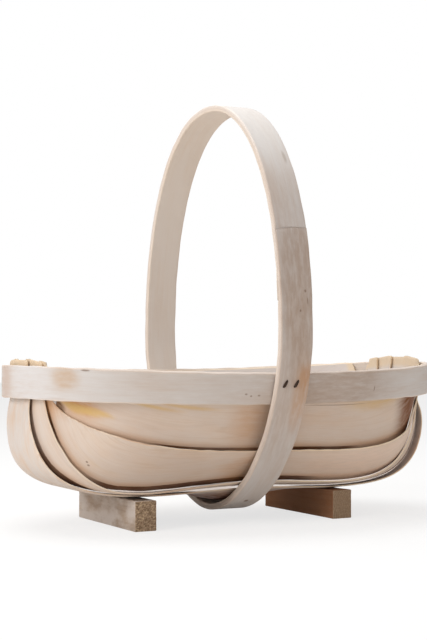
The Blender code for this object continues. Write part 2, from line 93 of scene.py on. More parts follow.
# The lower boards' outer edges: half breadth at the trug's ends, height there above the rim,
# lift over the hull's bottom, rise near the hoop and its reach, and the shares of the curves
CENTRE_LINE = dict(
    end=0.0225, proud=0.0055, lift=0.0, rise=0.0034, rise_reach=0.112,
    bulges=(0.0022, 0.0069), profiles=((5.36, 4.43), (6.8, 2.9)), spread_shares=(9.0, 0.4))
BILGE_LINE = dict(
    end=0.0425, proud=0.002, lift=0.0, rise=0.0108, rise_reach=0.181,
    bulges=(0.0050, 0.0002), profiles=((7.02, 1.41), (4.19, 2.16)), spread_shares=(8.6, 1.23))
SIDE_LINE = dict(
    end=0.049, proud=0.001, lift=0.0376, rise=0.0056, rise_reach=0.181,
    bulges=(0.0040, 0.0074), profiles=((1.8, 2.66), (4.27, 1.4)), spread_shares=(8.5, 2.75))

# Nails
NAIL_RADIUS = 0.0009
NAIL_HEAD_RADIUS = 0.0022
END_NAIL_LENGTH = 0.0085
SIDE_NAIL_LENGTH = 0.0068
FOOT_NAIL_LENGTH = 0.020
END_NAIL_DROP = 0.020
SIDE_NAIL_DROP = 0.019
CENTRE_NAIL_SPREAD = 0.008
BILGE_NAIL_SHARE = 0.45
SIDE_END_NAIL_SHARE = 0.55
SIDE_NAIL_SHARES = (0.12, 0.41, 0.73, 0.88)
FOOT_NAIL_SPREAD = 0.026
HANDLE_NAIL_DROP = 0.0121
HANDLE_NAIL_PLACES = (-0.0103, 0.0016)
CLENCH_TURN = -math.radians(27)
FOOT_LEFT = -0.1184
FOOT_RIGHT = 0.1010

# Steps of the coarse formulas and of the fine meshes
FINE_STEPS = 240
BOARD_STEPS = 54
STEPS_BETWEEN = 6
RIM_STEPS = 88
HANDLE_STEPS = 84
BAND_FINENESS = 5
SPARE_STEPS = 6
ROUNDS = 6
ROW_STEP = 0.0022
ACROSS_STEP = 0.0030
CORNER_STEPS = 3
LAP_LINE_STEPS = 900
SHARP_ANGLE = math.radians(40)

# Arrises: their rounding, how far past it they look worn, and how a strip's ends thin out
BOARD_ROUNDING = 0.0006
BAND_ROUNDING = 0.0010
ARRIS_REACH = 1.8
ARRIS_FADE = 0.25
END_TAPER = 0.4

# Raggedness of edges, and the length of its waves along the head and the foot edge
BOARD_RAGGED = 0.00025
HANDLE_RAGGED = 0.00015
RIM_RAGGED = 0.0002
HEAD_WAVE = 0.03
FOOT_WAVE = 0.04
WAVES = 5
WAVES_SUM = 2.2

# Painted shade in the crevice above a lap, warm stain mixed with painted shade just above it, and
# the share of its length over which a stretch without the crevice shade fades
NO_LAP = 0.1
CREVICE_SHADE_REACH = 0.0007
LAP_STAIN_AND_SHADE = 0.007
LAP_FADE = 0.08

# Visible edges of the boards are shaved thin on their outer face
FEATHER = 0.0015
FEATHER_REACH = 0.012

# The centre board hangs down between its edges where the hoop passes under it
SAG_DEPTH = 0.014
SAG_REACH = 0.075

# Camera, fitted to the photograph
IMAGE_HEIGHT = 640
FOCAL_PIXELS = 1393.28
HORIZON_ROW = 351.65
CAMERA_YAW = 0.4908
CAMERA_PLACE = (-0.6777, -1.2461, 0.1686)
SENSOR = 36.0

UP = np.array([0.0, 0.0, 1.0])
HULL_CENTRE = np.array([0.0, 0.0, RIM_HEIGHT])


# The shape formulas
def unit(vectors):
    return vectors / np.linalg.norm(vectors, axis=-1, keepdims=True)


def quarter(power_s, power_c):
    """s and c from (0, 1) to (1, 0) along the curve s ** power_s + c ** power_c = 1."""
    middle_s, middle_c = 0.5 ** (1 / power_s), 0.5 ** (1 / power_c)
    rising_s = np.linspace(0, middle_s, FINE_STEPS)
    falling_c = np.linspace(middle_c, 0, FINE_STEPS)[1:]
    s = np.concatenate([rising_s, (1 - falling_c ** power_c) ** (1 / power_s)])
    c = np.concatenate([(1 - rising_s ** power_s) ** (1 / power_c), falling_c])
    return s, c


def arch(power_s, power_c):
    """The quarter curve and its mirror image: s from -1 to 1, c from 0 over 1 back to 0."""
    s, c = quarter(power_s, power_c)
    return np.concatenate([-s[:0:-1], s]), np.concatenate([c[:0:-1], c])


def lengths_along(points):
    steps = np.linalg.norm(np.diff(points, axis=0), axis=1)
    return np.concatenate([[0.0], np.cumsum(steps)])


def points_at(points, reach, wanted):
    return np.stack([np.interp(wanted, reach, points[:, axis]) for axis in range(3)], axis=-1)


def spaced(points, count):
    """count + 1 points at equal steps along a polyline."""
    reach = lengths_along(points)
    return points_at(points, reach, np.linspace(0, reach[-1], count + 1))


def mirrored(points):
    return points * np.array([1.0, -1.0, 1.0])


def handle_half_width():
    """Half the hoop's breadth, so that its inner face just clears the rim's top edge."""
    power, below = HANDLE_LOWER_SHARES[0], HANDLE_WIDEST - HANDLE_BOTTOM
    depth = (HANDLE_WIDEST - RIM_HEIGHT) / below
    breadth = (1 - depth ** power) ** (1 / power)
    slope = depth ** (power - 1) * breadth ** (1 - power) / below
    half = RIM_WIDTH / 2
    for _ in range(ROUNDS):
        slant = math.hypot(1, slope * half)
        half = (RIM_WIDTH / 2 + (HANDLE_THICKNESS + BENT_CLEARANCE) * slant) / breadth
    return half


def handle_outline(count):
    """The hoop's outer line in the YZ plane, from its lowest point round the back."""
    half, above = handle_half_width(), HANDLE_TOP - HANDLE_WIDEST
    below = HANDLE_WIDEST - HANDLE_BOTTOM
    s, c = quarter(*HANDLE_LOWER_SHARES)
    lower = np.stack([0 * s, s * half, HANDLE_WIDEST - c * below], axis=1)
    s, c = quarter(*HANDLE_UPPER_SHARES)
    upper = np.stack([0 * s, s * half, HANDLE_WIDEST + c * above], axis=1)[::-1]
    back = np.concatenate([lower, upper[1:]])
    loop = np.concatenate([back, mirrored(back)[-2::-1]])
    return spaced(loop, count)[:-1] + np.array([HANDLE_SHIFT, 0.0, 0.0])


def handle_normals(outline):
    """Unit vectors pointing out of the hoop at each point of its outline."""
    along = np.roll(outline, -1, axis=0) - np.roll(outline, 1, axis=0)
    return unit(np.cross(along, np.array([1.0, 0.0, 0.0])))


def inside_handle(height):
    """Half the breadth that fits in the hoop, with a clearance, at a height below its widest."""
    outline = handle_outline(HANDLE_STEPS)
    inner = outline - handle_normals(outline) * (HANDLE_THICKNESS + BENT_CLEARANCE)
    back = inner[(inner[:, 1] > 0) & (inner[:, 2] < HANDLE_WIDEST)]
    return float(np.interp(height, back[:, 2], back[:, 1]))


def rim_lean():
    """How far in the rim's lower edge lies at the hoop."""
    lean = 0.0
    for _ in range(ROUNDS):
        lowest = RIM_HEIGHT - math.sqrt(RIM_BAND ** 2 - lean ** 2)
        lean = RIM_WIDTH / 2 - inside_handle(lowest)
    return lean


def rim_top(x):
    """Height of the rim's top edge at a place along the trug."""
    rise = np.where(x < 0, RIM_RISE_LEFT, RIM_RISE_RIGHT)
    return RIM_HEIGHT + rise * (2 * x / RIM_LENGTH) ** 2


def rim_loop(count):
    """The rim's outer top edge, from its left end along the front, and its plan normals."""
    s, c = arch(*RIM_PLAN_SHARES)
    x, y = s * RIM_LENGTH / 2, -c * RIM_WIDTH / 2
    front = np.stack([x, y, rim_top(x)], axis=1)
    loop = np.concatenate([front, mirrored(front)[-2::-1]])
    top = spaced(loop, count)[:-1]
    along = np.roll(top, -1, axis=0) - np.roll(top, 1, axis=0)
    outward = unit(np.cross(along, UP) * np.array([1.0, 1.0, 0.0]))
    return top, outward


def rim_edges(count):
    """The outer top and bottom edges of the rim band, whose sides lean in with the hoop."""
    top, outward = rim_loop(count)
    lean = rim_lean() * np.abs(outward[:, 1:2]) ** LEAN_FADE_SHARE
    flare = RIM_FLARE * np.abs(outward[:, 0:1]) ** LEAN_FADE_SHARE
    shift = flare - lean
    drop = np.sqrt(RIM_BAND ** 2 - shift ** 2)
    return top, top + outward * shift - UP * drop


def rim_walls():
    """Where boards meet the inside of the rim, along the front: its top and bottom edges."""
    edges = rim_edges(RIM_STEPS)
    outward = rim_loop(RIM_STEPS)[1]
    slant = math.hypot(1, rim_lean() / RIM_BAND)
    depth = RIM_THICKNESS * (1 + (slant - 1) * np.abs(outward[:, 1:2])) + CLEARANCE
    return [(edge - outward * depth)[:RIM_STEPS // 2 + 1] for edge in edges]


def rim_reach(half_breadth):
    """How far along X a board goes, at this distance off the middle, before it meets the rim."""
    reaches = []
    for wall in rim_walls():
        right = wall[wall[:, 0] > 0][::-1]
        reaches.append(np.interp(half_breadth, -right[:, 1], right[:, 0]))
    return np.minimum(*reaches)


def inside_rim(edge):
    """Hold an edge back where it rises behind the rim's band, and let it go below the band."""
    below = np.maximum(rim_top(edge[:, 0]) - RIM_BAND - RIM_RELEASE_DROP - edge[:, 2], 0)
    limit = rim_reach(-edge[:, 1]) + below * RIM_RELEASE_SHARE
    held = edge.copy()
    held[:, 0] = np.sign(edge[:, 0]) * np.minimum(np.abs(edge[:, 0]), limit)
    return held


def inward_of(foot, head, share=1.0):
    """Unit normals of the strip between two edges, pointing into the hull, at a share of it."""
    along = np.gradient(foot + (head - foot) * share, axis=0)
    normal = unit(np.cross(along, foot - head))
    side = np.sign(np.sum(normal * (HULL_CENTRE - head), axis=1, keepdims=True))
    return normal * side


def inside_board(edge, foot, head):
    """Hold an edge inside the board below, which has these edges."""
    inward = inward_of(foot, head)
    depth = np.sum((edge - head) * inward, axis=1, keepdims=True)
    return edge + inward * np.maximum(BOARD_THICKNESS + LAP_CLEARANCE - depth, 0)


def lap_edge(end, proud, lift, rise, rise_reach, bulges, profiles, spread_shares, middle=None):
    """The outer edge of a board on the front side, from the left end of the rim to the right.
    middle is its half breadth under the hoop, as wide as fits inside the hoop if not given."""
    height = HULL_BOTTOM + lift
    middle = middle or inside_handle(height + rise)
    halves = []
    for side, bulge, profile in zip((-1, 1), bulges, profiles):
        s, c = quarter(*profile)
        spread = (1 - s ** spread_shares[0]) ** spread_shares[1]
        x = side * (rim_reach(end) * s + bulge * 4 * c * (1 - c))
        squeeze = np.cos(np.clip(np.abs(x) / rise_reach, 0, 1) * math.pi / 2) ** 2
        y = -(end + (middle - end) * spread)
        z = (rim_top(x) + proud) * (1 - c) + height * c + rise * squeeze
        halves.append(np.stack([x, y, z], axis=1))
    left, right = halves
    return spaced(inside_rim(np.concatenate([left[::-1], right[1:]])), BOARD_STEPS)


def lapped_edge(foot, head):
    """The hidden edge of the next board up, which lies inside the board with these edges."""
    across = unit(foot - head)
    return head + across * BOARD_LAP + inward_of(foot, head) * (BOARD_THICKNESS + LAP_CLEARANCE)


def finer(points):
    """The same polyline with STEPS_BETWEEN steps to each of its runs."""
    rows = np.arange(len(points))
    between_rows = np.linspace(0, rows[-1], STEPS_BETWEEN * rows[-1] + 1)
    return np.stack([np.interp(between_rows, rows, column) for column in points.T], axis=1)


def tucked(foot, head, lower_foot, lower_head):
    """A board's hidden edge, pushed inward until the board clears the edge of the one below."""
    lower_foot, lower_head = finer(lower_foot), finer(lower_head)
    inward = inward_of(lower_foot, lower_head)
    pushes = []
    for low, high in zip(finer(foot), finer(head)):
        run = high - low
        shares = (lower_head - low) @ run / (run @ run)
        crossings = low + shares[:, None] * run
        near = int(np.argmin(np.linalg.norm(crossings - lower_head, axis=1)))
        depth = (crossings[near] - lower_head[near]) @ inward[near]
        short = max(BOARD_THICKNESS + LAP_CLEARANCE - depth, 0)
        pushes.append(inward[near] * short / (1 - shares[near]))
    pushed = foot.copy()
    for row in range(len(foot)):
        middle = row * STEPS_BETWEEN
        around = pushes[max(middle - STEPS_BETWEEN, 0):middle + STEPS_BETWEEN + 1]
        pushed[row] += max(around, key=np.linalg.norm)
    return pushed


def between(points):
    """The stretch of an edge that a top board covers, at equal steps."""
    reach = lengths_along(points)
    half = float(rim_reach(SIDE_LINE["end"])) - TOP_SETBACK
    ends = np.interp((-half, half), points[:, 0], reach)
    return points_at(points, reach, np.linspace(*ends, BOARD_STEPS + 1))


def lapped_over(outer, below):
    """The edges of a board with about this outer edge, lapped inside the board below."""
    outer = inside_board(outer, *below)
    return tucked(lapped_edge(*below), outer, *below), outer


def board_edges():
    """The hidden and the outer edge of each board on the front side."""
    centre = lap_edge(**CENTRE_LINE, middle=CENTRE_MIDDLE)
    centre = (mirrored(centre), centre)
    bilge = lapped_over(lap_edge(**BILGE_LINE), centre)
    side = lapped_over(lap_edge(**SIDE_LINE), bilge)
    hidden, top = between(lapped_edge(*side)), between(rim_walls()[0] - UP * TOP_DROP)
    top = (tucked(hidden, top, *side), top)
    return {"centre": centre, "bilge": bilge, "side": side, "top": top}


# Fine meshes of the bent strips
def smoothed(points):
    """A smooth curve through the points, with STEPS_BETWEEN steps to each run."""
    ends = 2 * points[:1] - points[1:2], 2 * points[-1:] - points[-2:-1]
    padded = np.concatenate([ends[0], points, ends[1]])
    before, start, end, after = (padded[k:len(padded) - 3 + k][None] for k in range(4))
    t = np.linspace(0, 1, STEPS_BETWEEN, endpoint=False)[:, None, None]
    curve = start + t / 2 * (end - before + t * (2 * before - 5 * start + 4 * end - after
                             + t * (3 * (start - end) + after - before)))
    return np.concatenate([curve.transpose(1, 0, 2).reshape(-1, 3), points[-1:]])


def wobble(values, seed, size, wave):
    """A smooth random curve of about this size and wavelength, the same each time."""
    random = np.random.RandomState(seed)
    total = np.zeros_like(values)
    for _ in range(WAVES):
        pace = 2 * math.pi / (wave * random.uniform(0.5, 2.0))
        total += np.sin(values * pace + random.uniform(0, 2 * math.pi))
    return total * size / WAVES_SUM


class Strip:
    """The outer face of a bent strip, looked up by length along it and distance across it."""

    def __init__(self, foot, head):
        self.foot, self.head = foot, head
        self.reach = lengths_along((foot + head) / 2)
        self.length = self.reach[-1]
        self.inward = inward_of(foot, head, 0.5)

    def at(self, along, share, depth):
        foot = points_at(self.foot, self.reach, along)
        head = points_at(self.head, self.reach, along)
        inward = unit(points_at(self.inward, self.reach, along))
        return foot + (head - foot) * share[..., None] + inward * depth[..., None]

    def width(self, along):
        gap = points_at(self.head, self.reach, along) - points_at(self.foot, self.reach, along)
        return np.linalg.norm(gap, axis=-1)


def section(width, thickness, rounding):
    """The loop round a strip's cross-section: share across, offset across, share of the depth,
    and how near an arris each point lies. Its second half is the first one turned round."""
    turns = np.linspace(0, math.pi / 2, CORNER_STEPS + 1)
    corner = [(rounding * (1 - math.sin(a)), rounding * (1 - math.cos(a)) / thickness)
              for a in turns]
    count = max(int(width / ACROSS_STEP), 3)
    near = ARRIS_REACH * rounding
    half = [(0, offset, depth, 1) for offset, depth in corner[::-1]]
    half += [(0, near, 0, ARRIS_FADE)]
    half += [(share, 0, 0, 0) for share in np.linspace(0, 1, count + 1)[1:-1]]
    half += [(1, -near, 0, ARRIS_FADE)]
    half += [(1, -offset, depth, 1) for offset, depth in corner]
    half += [(1, 0, 0.5, 1)]
    turned = [(1 - share, -offset, 1 - depth, edge) for share, offset, depth, edge in half]
    return np.array(half + turned).T


def add_thing(name, data):
    """Adds an object with this mesh, lamp or camera to the scene."""
    thing = bpy.data.objects.new(name, data)
    bpy.context.scene.collection.objects.link(thing)
    return thing


def new_piece(node, suffix, mesh, material):
    """Adds a mesh to the scene as the piece that stands for a node of the solid model."""
    piece = add_thing(f"{node}_{suffix}", mesh)
    mesh.materials.append(material)
    mesh.shade_smooth()
    mesh.set_sharp_from_angle(angle=SHARP_ANGLE)
    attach(piece, "root")
    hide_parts(node)


def dress(mesh, grain, place):
    """Stores each point's place in the wood: along, across and into it, and how far along the
    piece it lies as a share, its distance from the head edge and its nearness to an arris."""
    for name, values in (("grain", grain), ("place", place)):
        attribute = mesh.attributes.new(name, "FLOAT_VECTOR", "POINT")
        attribute.data.foreach_set("vector", values.astype(np.float32).ravel())


def lap_distance(points, upward, line):
    """How far each row's points lie above a line, such as the edge of the board lapped over
    them. upward gives each row's direction across the board."""
    if line is None:
        return np.full(points.shape[:2], NO_LAP)
    fine = spaced(line, LAP_LINE_STEPS)
    distances = []
    for row, direction in zip(points, upward):
        nearest = np.argmin(np.linalg.norm(row[:, None] - fine, axis=2), axis=1)
        distances.append((row - fine[nearest]) @ direction)
    return np.array(distances)


def lofted(name, points):
    """A mesh through rows of loops, closed at both ends."""
    rows, ring = points.shape[:2]
    index = np.arange(rows * ring).reshape(rows, ring)
    ahead = np.roll(index, -1, axis=1)
    quads = np.stack([index[:-1], ahead[:-1], ahead[1:], index[1:]], axis=-1).reshape(-1, 4)
    faces = quads.tolist() + [index[0][::-1].tolist(), index[-1].tolist()]
    mesh = bpy.data.meshes.new(name)
    mesh.from_pydata(points.reshape(-1, 3), [], faces)
    return mesh


def face_outward(mesh):
    shape = bmesh.new()
    shape.from_mesh(mesh)
    bmesh.ops.recalc_face_normals(shape, faces=shape.faces)
    shape.to_mesh(mesh)
    shape.free()


def bend(strip, start, end, thickness, rounding, seed, shift, ragged, outer=None, inner=None,
         rows=(), feather=(0.0, 0.0), sag=None, lap_line=None):
    """A closed mesh of a bent strip between two lengths along it. shift moves its rows along
    it, and outer and inner give the depths of its two faces. feather says how much its outer
    face is shaved at its two edges, and sag moves its points."""
    ends = np.array([0, 0.3, 1.0]) * rounding
    count = int((end - start) / ROW_STEP)
    body = np.linspace(start + rounding, end - rounding, count)
    along = np.concatenate([start + ends[:2], body, end - ends[1::-1], list(rows)])
    along = np.unique(along)
    inset = np.clip(rounding - np.minimum(along - start, end - along), 0, rounding)
    share, offset, depth_share, edge = section(np.median(strip.width(along)), thickness,
                                               rounding)
    width = strip.width(along)[:, None]
    across = share * width + offset
    across += (share == 1) * wobble(along, seed, ragged, HEAD_WAVE)[:, None]
    across += (share == 0) * wobble(along, seed + 1, ragged, FOOT_WAVE)[:, None]
    across = inset[:, None] + across * (1 - 2 * inset[:, None] / width)
    rows_along = np.repeat(along[:, None], len(share), axis=1)
    rows_along = rows_along + shift(rows_along, across / width)
    top = outer(rows_along) if outer else np.zeros_like(rows_along)
    bottom = inner(rows_along) if inner else np.full_like(rows_along, thickness)
    for amount, distance in zip(feather, (across, width - across)):
        top = top + amount * np.clip(1 - distance / FEATHER_REACH, 0, 1) ** 2
    top, bottom = top + inset[:, None] * END_TAPER, bottom - inset[:, None] * END_TAPER
    depth = top + (bottom - top) * depth_share
    points = strip.at(rows_along, across / width, depth)
    if sag:
        points = sag(points)
    grain = np.stack([rows_along, across, depth], axis=-1)
    place = np.stack([rows_along / strip.length, width - across,
                      np.broadcast_to(edge, across.shape)], axis=-1)
    mesh = lofted("bent", points)
    dress(mesh, grain, place)
    face_outward(mesh)
    upward = unit(points_at(strip.head - strip.foot, strip.reach, along))
    lap = mesh.attributes.new("lap", "FLOAT", "POINT")
    lap.data.foreach_set("value", lap_distance(points, upward, lap_line).ravel())
    return mesh


def scarfed(foot, head, begin, thickness, slant, width):
    """The strip, span and depths of a band that begins at a row and laps over its own start."""
    lap = SCARF_LENGTH
    foot, head = (np.roll(edge, -begin, axis=0) for edge in (foot, head))
    step = np.linalg.norm(foot[1] - foot[0])
    extra = int(lap / step) + SPARE_STEPS
    strip = Strip(*(np.concatenate([edge, edge[:extra]]) for edge in (foot, head)))
    once = float(strip.reach[len(foot)])

    def split(past):
        return SCARF_TIP + (thickness - 2 * SCARF_TIP) * np.clip(past / lap, 0, 1)

    def inner(along):
        return np.where(along < lap, split(along) - SCARF_GAP / 2, thickness)

    def outer(along):
        past = along - once
        return np.where(past > -SCARF_GAP, split(past) + SCARF_GAP / 2, 0)

    def shift(along, share):
        near = np.minimum(along, np.abs(along - once))
        fade = np.clip(1 - near / lap, 0, 1) ** 2
        return -slant * (share - 0.5) * width * fade

    rows = [once - 2 * SCARF_GAP, once - SCARF_GAP * 1.5, once, once + SCARF_GAP]
    return strip, (SCARF_GAP, once + lap), outer, inner, shift, rows


# Node building
class Nodes:
    """The nodes of a material or a world, built by calls that return the outputs they add."""

    def __init__(self, owner):
        owner.use_nodes = True
        self.owner, self.tree = owner, owner.node_tree

    def add(self, kind, inputs=None, out=0, **settings):
        node = self.tree.nodes.new("ShaderNode" + kind)
        for key, value in settings.items():
            setattr(node, key, value)
        for key, value in (inputs or {}).items():
            self.put(node.inputs[key], value)
        return node if out is None else node.outputs[out]

    def put(self, socket, value):
        if isinstance(value, bpy.types.NodeSocket):
            self.tree.links.new(value, socket)
        elif socket.type == "RGBA":
            socket.default_value = (*value, 1.0)
        else:
            socket.default_value = value

    def math(self, operation, first, second=0.0):
        return self.add("Math", {0: first, 1: second}, operation=operation)

    def times(self, value, *others):
        for other in others:
            value = self.math("MULTIPLY", value, other)
        return value

    def ramp(self, value, low, high, start=0.0, end=1.0):
        """A smooth step from start at low to end at high."""
        return self.add("MapRange", {"Value": value, 1: low, 2: high, 3: start, 4: end},
                        interpolation_type="SMOOTHSTEP")

    def mix(self, factor, first, second):
        return self.add("Mix", {0: factor, 6: first, 7: second}, out=2, data_type="RGBA")

    def finish(self, colour, roughness, height, distance, specular=0.25, metallic=0.0):
        """Feeds a material's Principled shader and returns the material."""
        bump = self.add("Bump", {"Height": height, "Distance": distance, "Strength": 1.0})
        values = {"Base Color": colour, "Roughness": roughness, "Specular IOR Level": specular,
                  "Metallic": metallic, "Normal": bump}
        for name, value in values.items():
            self.put(self.tree.nodes["Principled BSDF"].inputs[name], value)
        return self.owner


class Wood(Nodes):
    """The nodes of a wooden piece's material. They read what dress() stores on its mesh, and
    each coat covers the colour so far."""

    def __init__(self, name, seed):
        super().__init__(bpy.data.materials.new(name))
        self.seed, self.colour = seed, None
        self.grain = self.attribute("grain")
        parts = self.add("SeparateXYZ", {"Vector": self.grain}, out=None)
        self.across, self.depth = parts.outputs[1:3]
        place = self.add("SeparateXYZ", {"Vector": self.attribute("place")}, out=None)
        self.share, self.from_head, self.edge = place.outputs[:3]

    def attribute(self, name, out="Vector"):
        return self.add("Attribute", out=out, attribute_name=name)

    def noise(self, pace, number, detail=3.0, roughness=0.55, vector=None):
        """Noise with so many waves a metre along, across and into the wood. Each number gives
        another noise."""
        vector = self.grain if vector is None else vector
        scaled = self.add("VectorMath", {0: vector, 1: pace}, operation="MULTIPLY")
        values = {"Vector": scaled, "W": self.seed + number, "Scale": 1.0, "Detail": detail,
                  "Roughness": roughness}
        return self.add("TexNoise", values, noise_dimensions="4D")

    def distance(self, place, scale):
        """How far a point lies from a place in the wood, each way multiplied by its scale."""
        offset = self.add("VectorMath", {0: self.grain, 1: place}, operation="SUBTRACT")
        scaled = self.add("VectorMath", {0: offset, 1: scale}, operation="MULTIPLY")
        return self.add("VectorMath", {0: scaled}, out="Value", operation="LENGTH")

    def coat(self, tone, *factors):
        """Covers the colour so far with a tone, as much as the product of the factors says."""
        self.colour = self.mix(self.times(*factors), self.colour, tone)

    def draw(self, marks):
        """Draws oval marks on the outer face: place, size, softness, colour and strength."""
        uneven = self.ramp(self.noise((60, 260, 260), 80, 4.0, 0.65), 0.32, 0.62, 0.65, 1.1)
        for number, (along, across, long, wide, soft, tone, strength) in enumerate(marks, 20):
            fine = min(long, wide)
            scale = (1 / long, 1 / wide, 1 / min(wide, MARK_DEPTH))
            far = self.distance((along, across, 0), scale)
            fuzz = self.noise((MARK_FUZZ_PACE / fine,) * 3, number)
            fuzz = self.times(self.math("SUBTRACT", fuzz, 0.5), MARK_FUZZ)
            within = self.ramp(self.math("ADD", far, fuzz), 1 - soft, 1 + soft, 1.0, 0.0)
            self.coat(tone, within, strength, *([uneven] if fine > FINE_MARK else []))


# Colours, as linear values. The tones are the pale, the warm and the deep one of bare wood.
BAND_TONES = ((0.60, 0.53, 0.49), (0.54, 0.42, 0.34), (0.40, 0.26, 0.17))
BAND_STAIN = (0.37, 0.27, 0.21)
BAND_EDGE = (0.80, 0.70, 0.62)
BAND_INSIDE = (0.80, 0.70, 0.60)
BOARD_TONES = ((0.70, 0.585, 0.50), (0.65, 0.52, 0.43), (0.54, 0.39, 0.28))
BOARD_YELLOW = (0.66, 0.50, 0.25)
WASH = (0.65, 0.635, 0.635)
INSIDE_WASH = 0.55
EDGE_CREAM = (0.87, 0.73, 0.56)
EDGE_HIGHLIGHT = (0.92, 0.80, 0.62)
EDGE_ORANGE = (0.66, 0.42, 0.24)
END_TAN = (0.74, 0.58, 0.39)
CREVICE_SHADE_TONE = (0.11, 0.036, 0.009)
STAIN_AND_SHADE = (0.56, 0.29, 0.12)
DARK = (0.16, 0.07, 0.03)
END_SHADE_DARK = (0.19, 0.065, 0.017)
SPECK = (0.20, 0.13, 0.09)
OCHRE = (0.66, 0.46, 0.19)
UNDERSIDE_SHADE = (0.16, 0.055, 0.025)
FOOT_WOOD = (0.36, 0.26, 0.18)
FOOT_LATE = (0.24, 0.15, 0.085)
FOOT_DARK = (0.13, 0.080, 0.042)
FOOT_PALE = (0.72, 0.56, 0.36)
FOOT_WASH = (0.62, 0.57, 0.54)
FOOT_RED = (0.30, 0.12, 0.045)
NAIL_STEEL = (0.050, 0.038, 0.030)
NAIL_RUST = (0.055, 0.026, 0.014)
FLOOR_LIT = (0.90, 0.85, 0.79)
FLOOR_SHOWN = (0.90, 0.90, 0.90)
SKY = (1.0, 0.97, 0.94)
WHITE = (1.0, 1.0, 1.0)

# Marks of use, and patches of painted shade and light: the length along the wood and distance
# across it, half the mark's length and width, its softness, colour and strength
MARK_DEPTH = 0.002
MARK_FUZZ = 0.7
MARK_FUZZ_PACE = 0.8
FINE_MARK = 0.003
BOARD_MARKS = {
    "centre_board": (
        # Painted shade on the underside where the hoop passes under the hull
        (0.320, 0.0505, 0.085, 0.060, 0.4, UNDERSIDE_SHADE, 0.9),
        # Painted warm shade on the turned face at the board's right end
        (0.540, 0.0850, 0.060, 0.022, 0.8, (0.72, 0.37, 0.20), 0.95)),
    "side_board_front": (
        (0.1031, 0.0194, 0.0012, 0.0009, 0.4, SPECK, 0.7),
        (0.1064, 0.0175, 0.0013, 0.0009, 0.4, SPECK, 0.7),
        # Warm stain with painted shade beside the hoop
        (0.2620, 0.0300, 0.022, 0.030, 0.8, STAIN_AND_SHADE, 0.45),
        (0.0350, 0.0200, 0.014, 0.020, 0.8, STAIN_AND_SHADE, 0.60),
        # Painted light on the shaded right end of the board
        (0.4000, 0.0330, 0.070, 0.032, 0.8, (0.92, 0.72, 0.60), 0.5)),
    "top_board_front": (
        # Warm stain with the painted shadow under the rim, at the left end
        (0.0190, 0.0235, 0.022, 0.0080, 0.8, STAIN_AND_SHADE, 0.95),
        (0.0170, 0.0182, 0.011, 0.0030, 0.7, OCHRE, 0.80),
        (0.0300, 0.0215, 0.012, 0.0028, 0.7, OCHRE, 0.85),
        (0.0430, 0.0247, 0.012, 0.0026, 0.7, OCHRE, 0.75),
        (0.0900, 0.0445, 0.022, 0.0018, 0.8, OCHRE, 0.65),
        (0.1260, 0.0497, 0.024, 0.0018, 0.8, OCHRE, 0.60),
        # Painted shadow of the hoop
        (0.1950, 0.0450, 0.020, 0.0400, 0.8, STAIN_AND_SHADE, 0.45),
        # Painted shade in the hollow beside the board's left end
        (0.0035, 0.0110, 0.006, 0.0050, 0.5, DARK, 0.85),
        (0.3400, 0.0560, 0.035, 0.0080, 0.8, OCHRE, 0.55),
        # Painted shade at the right end, where the board meets the side board
        (0.4060, 0.0150, 0.028, 0.0300, 0.7, END_SHADE_DARK, 1.0),
        (0.3990, 0.0450, 0.024, 0.0300, 0.7, END_SHADE_DARK, 1.0),
        (0.2826, 0.0552, 0.036, 0.0005, 0.5, DARK, 0.50)),
}
RIM_MARKS = (
    (0.7150, 0.0150, 0.065, 0.0400, 0.6, BAND_STAIN, 0.62),
    (0.4473, 0.0215, 0.013, 0.0100, 0.5, (0.54, 0.38, 0.25), 0.65),
    (0.4020, 0.0150, 0.030, 0.0300, 0.5, (0.68, 0.68, 0.70), 0.60),
    (0.3600, 0.0130, 0.014, 0.0300, 0.6, (0.55, 0.43, 0.37), 0.55),
    (0.6300, 0.0150, 0.045, 0.0300, 0.8, (0.48, 0.40, 0.35), 0.35),
    (0.4680, 0.0290, 0.004, 0.0008, 0.4, SPECK, 0.75),
    (0.6195, 0.0107, 0.0014, 0.0009, 0.4, SPECK, 0.60),
    (0.6249, 0.0089, 0.0011, 0.0009, 0.4, SPECK, 0.60),
    (0.6331, 0.0094, 0.0014, 0.0009, 0.4, SPECK, 0.60),
    (0.7658, 0.0127, 0.0007, 0.0026, 0.4, SPECK, 0.60),
    (0.5350, 0.0200, 0.055, 0.0300, 0.8, (0.48, 0.42, 0.38), 0.28),
)
HOOP_MARKS = (
    (0.9300, 0.0172, 0.110, 0.0350, 0.7, (0.76, 0.73, 0.70), 0.65),
    (0.0550, 0.0225, 0.088, 0.0245, 0.5, BAND_STAIN, 0.70),
    (1.0980, 0.0172, 0.050, 0.0350, 0.6, BAND_STAIN, 0.30),
    (0.1800, 0.0172, 0.060, 0.0350, 0.7, BAND_STAIN, 0.40),
    (0.1600, 0.0270, 0.030, 0.0080, 0.7, (0.52, 0.31, 0.18), 0.55),
    (0.1420, 0.0300, 0.012, 0.0060, 0.7, (0.45, 0.24, 0.12), 0.50),
    (1.0317, 0.0285, 0.007, 0.0016, 0.5, (0.42, 0.36, 0.31), 0.60),
    (0.3008, 0.0181, 0.0024, 0.0022, 0.4, DARK, 0.70),
    (0.0607, 0.0267, 0.0014, 0.0009, 0.4, SPECK, 0.75),
    (0.0792, 0.0209, 0.0012, 0.0008, 0.4, SPECK, 0.75),
    (0.0700, 0.0290, 0.0030, 0.0006, 0.4, SPECK, 0.60),
)


